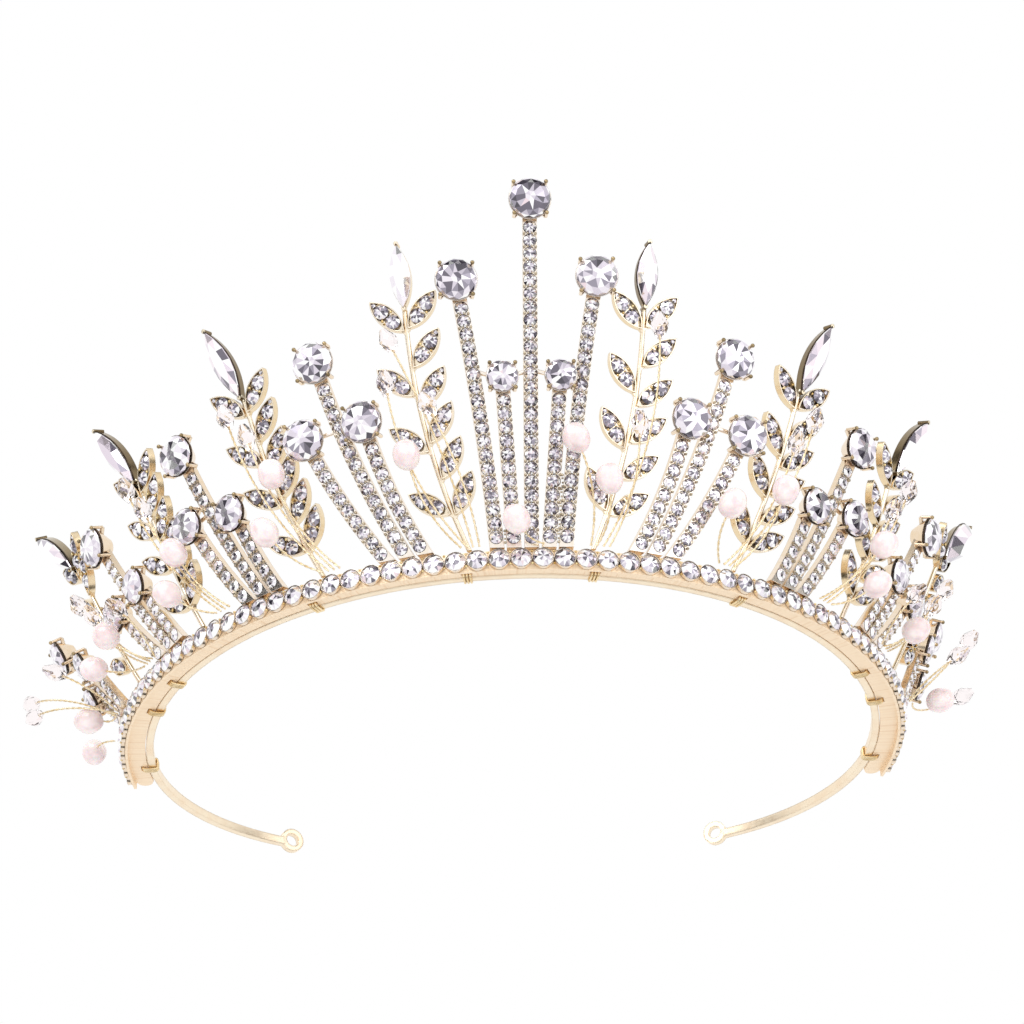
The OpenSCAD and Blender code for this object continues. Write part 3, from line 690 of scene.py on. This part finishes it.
def seat_shadow_lines(name, node):
    """Line of painted shadow where each large crystal meets its setting, just under the girdle."""
    paths = []
    for seat in stone_seats(node):
        if seat["length"] < LARGE_CRYSTAL:
            continue
        across = seat["long"].cross(seat["out"])
        path = []
        for step in range(28):
            angle = tau * step / 28
            if is_navette(seat):
                side = copysign(1 - sin(angle) ** 2, cos(angle))
            else:
                side = cos(angle)
            path.append(seat["centre"] + across * side * seat["width"] / 2
                        + seat["long"] * sin(angle) * seat["length"] / 2 - seat["out"] * SEAT_DEPTH)
        paths.append(path)
    if paths:
        curve_piece(name, paths, SEAT_LINE, "plated_gold", None, SEAT_SHADOW, closed=True)


STRAND = 0.24 * MM
LAY = 2.2 * MM     # length of one full twist
STRAND_OUT = 0.42  # of a strand's width, from the axis: under half, so the strands press together


def twisted_wires(name, node):
    """Each branch as two strands twisted round the arc of its CAD wire."""
    source, found = solids(node)
    paths = []
    for faces in found:
        origin, u, v, radius, start, end = arc_of(points_of(faces))
        normal = u.cross(v)
        length = radius * (end - start)
        steps = max(8, int(length / LAY * 8))
        for strand_turn in (0, pi):
            path = []
            for k in range(steps + 1):
                a = start + (end - start) * k / steps
                out = u * cos(a) + v * sin(a)
                twist = strand_turn + tau * length * k / steps / LAY
                sideways = (out * cos(twist) + normal * sin(twist)) * STRAND * STRAND_OUT
                path.append(origin + out * radius + sideways)
            paths.append(path)
    source.free()
    return curve_piece(name, paths, STRAND, "gold_wire", node, SPRAY_GOLD)


TIE_WIRE = 0.44 * MM
TIE_CORNER = 0.45  # power of the rounded loop: 1 is an ellipse, 0 a square corner


def rounded_ties():
    """Binding wire: each CAD loop drawn tight with round corners."""
    source, found = solids("binding_ties")
    paths = []
    for faces in found:
        cloud, middle, axes = principal_axes(points_of(faces))
        normal = Vector(axes[:, 0])
        up = Vector((0, 0, 1))
        side = up.cross(normal).normalized()
        centre = Vector(middle)
        flat = [((Vector(p) - centre).dot(side), p[2] - centre.z) for p in cloud]
        half_w = max(f[0] for f in flat) - TIE_WIRE / 2
        half_h = max(f[1] for f in flat) - TIE_WIRE / 2
        path = []
        for k in range(24):
            a = tau * k / 24
            x = copysign(abs(cos(a)) ** TIE_CORNER, cos(a)) * half_w
            z = copysign(abs(sin(a)) ** TIE_CORNER, sin(a)) * half_h
            path.append(centre + side * x + up * z)
        paths.append(path)
    source.free()
    return curve_piece("binding_wire_turns", paths, TIE_WIRE, "gold_wire", "binding_ties", TIE_GOLD,
                       closed=True)


# ---- the tiara ----

def finish_node(node, *finishes):
    """Gives a CAD node that stays visible its materials."""
    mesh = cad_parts[node].data
    mesh.materials.clear()
    for finish in finishes:
        mesh.materials.append(finish)


def finish_sprig(node):
    """Gold sprig whose navette setting gets darker painted shade, on all but one."""
    finish_node(node, SPRIG_GOLD, NAVETTE_CUP_SHADE)
    if node == PALEST_SPRIG:
        return
    seat = next(s for s in stone_seats(f"{node}_stones") if is_navette(s))
    across = seat["long"].cross(seat["out"])
    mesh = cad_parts[node].data
    for face in mesh.polygons:
        spots = [mesh.vertices[i].co - seat["centre"] for i in face.vertices]
        # Faces round the navette, all but those that look straight back
        high = max(abs(spot.dot(seat["long"])) for spot in spots) < seat["length"] / 2 + MM
        wide = max(abs(spot.dot(across)) for spot in spots) < seat["width"] / 2 + MM
        if high and wide and face.normal.dot(seat["out"]) > -0.7:
            face.material_index = 1


finish_node("base_strip", STRIP_GOLD)
finish_node("hair_hoop", HOOP_GOLD)
finish_node("base_row_cups", CUP_GOLD)
for cluster in CLUSTERS:
    finish_node(f"{cluster}_frame", FRAME_GOLD)
    set_stones(f"{cluster}_cut_crystals", f"{cluster}_crystals")
    claw_tips(f"{cluster}_claw_tips", f"{cluster}_crystals", size=0.78 * MM, spread=0.35 * MM)
    if cluster not in BRIGHT_FANS:
        seat_shadow_lines(f"{cluster}_seat_shadow_lines", f"{cluster}_crystals")
    set_stones(f"{cluster}_stem_chatons", f"{cluster}_stones")
    # Dull grains in the gaps of the stem rows: painted shade between the stones
    raised_grains(f"{cluster}_stem_grains", f"{cluster}_stones", size=0.6 * MM, spread=0.44,
                  height=0.15 * MM, finish=STEM_GRAIN_SHADE)
    raised_grains(f"{cluster}_joint_grains", f"{cluster}_stones", size=0.44 * MM, spread=0.17,
                  height=0.3 * MM, finish=STEM_GRAIN_SHADE)
for sprig in SPRIGS:
    finish_sprig(sprig)
    set_stones(f"{sprig}_chatons", f"{sprig}_stones")
    if sprig != PALEST_SPRIG:
        seat_shadow_lines(f"{sprig}_seat_shadow_lines", f"{sprig}_stones")
    raised_grains(f"{sprig}_grains", f"{sprig}_stones", size=0.6 * MM, spread=0.42, height=0.15 * MM)
set_stones("base_row_chatons", "base_row_stones")
raised_grains("base_row_grains", "base_row_stones", size=0.5 * MM, spread=0.34, height=0.1 * MM)
spray_pearls()
spray_drops()
twisted_wires("left_twisted_wires", "left_spray_wires")
twisted_wires("right_twisted_wires", "right_spray_wires")
rounded_ties()


# ---- light ----

scene = bpy.context.scene
scene.view_settings.view_transform = "Standard"


def studio_world():
    """White room: full white to the camera and in reflections, a touch dimmer as light on the piece."""
    world = bpy.data.worlds.new("white_room")
    scene.world = world
    world.use_nodes = True
    tree = world.node_tree
    seen = add(tree, "LightPath", "Is Camera Ray")
    path = seen.node
    for ray in ("Is Glossy Ray", "Is Transmission Ray"):
        seen = add(tree, "Math", "Value", [(0, seen), (1, path.outputs[ray])], operation="MAXIMUM")
    level = add(tree, "MapRange", "Result", [("Value", seen), ("To Min", 0.98), ("To Max", 1.0)])
    tree.links.new(level, tree.nodes["Background"].inputs["Strength"])
    tree.nodes["Background"].inputs["Color"].default_value = (1, 1, 1, 1)


LIT_SPOT = Vector((0, 0, 30 * MM))  # lamps and cards all face the middle of the tiara


def soft_box(name, spot, size, power):
    """Square lamp."""
    lamp = bpy.data.lights.new(name, "AREA")
    lamp.shape = "RECTANGLE"
    lamp.size = size
    lamp.size_y = size
    lamp.energy = power
    holder = bpy.data.objects.new(name, lamp)
    aim = LIT_SPOT - Vector(spot)
    holder.matrix_world = Matrix.Translation(spot) @ aim.to_track_quat("-Z", "Y").to_matrix().to_4x4()
    scene.collection.objects.link(holder)


def black_flag(name, spot, width, height):
    """Dark card outside the view: it gives polished gold and facets something to contrast with."""
    aim = LIT_SPOT - Vector(spot)
    turn = Matrix.Translation(spot) @ aim.to_track_quat("Z", "Y").to_matrix().to_4x4()
    bm = bmesh.new()
    bmesh.ops.create_grid(bm, x_segments=1, y_segments=1, size=0.5,
                          matrix=turn @ Matrix.Diagonal((width, height, 1, 1)))
    mesh = bpy.data.meshes.new(name)
    bm.to_mesh(mesh)
    bm.free()
    mesh.materials.append(material(name + "_felt", Base_Color=srgb("101010"), Roughness=1.0,
                                   Specular_IOR_Level=0.0)[0])
    card = bpy.data.objects.new(name, mesh)
    scene.collection.objects.link(card)
    card.visible_camera = False
    card.visible_diffuse = False
    card.visible_shadow = False
    card.visible_transmission = False


studio_world()
soft_box("key_box", (-0.35, -0.55, 0.45), size=0.5, power=2.0)
soft_box("fill_box", (0.45, -0.5, 0.1), size=0.6, power=1.0)
black_flag("left_flag", (-0.6, -0.15, 0.0), width=0.16, height=0.7)
black_flag("right_flag", (0.6, -0.15, 0.0), width=0.16, height=0.7)
black_flag("top_flag", (0.0, -0.25, 0.6), width=0.9, height=0.25)
black_flag("low_flag", (0.0, 0.1, -0.55), width=0.9, height=0.25)


# ---- camera ----

lens = bpy.data.cameras.new("camera")
lens.lens = 109.5
lens.sensor_width = 36
lens.clip_start = 0.01
# Seen from the front and about 30 degrees below, slightly from the left, and rolled a little
eye = Vector((-0.03362, -0.51424, -0.25943))
aim = Vector((-0.00338, -0.05231, 0.00876))
roll = radians(-2.57)
camera = bpy.data.objects.new("camera", lens)
scene.collection.objects.link(camera)
level = (aim - eye).to_track_quat("-Z", "Y").to_matrix() @ Matrix.Rotation(roll, 3, "Z")
camera.matrix_world = Matrix.Translation(eye) @ level.to_4x4()
scene.camera = camera
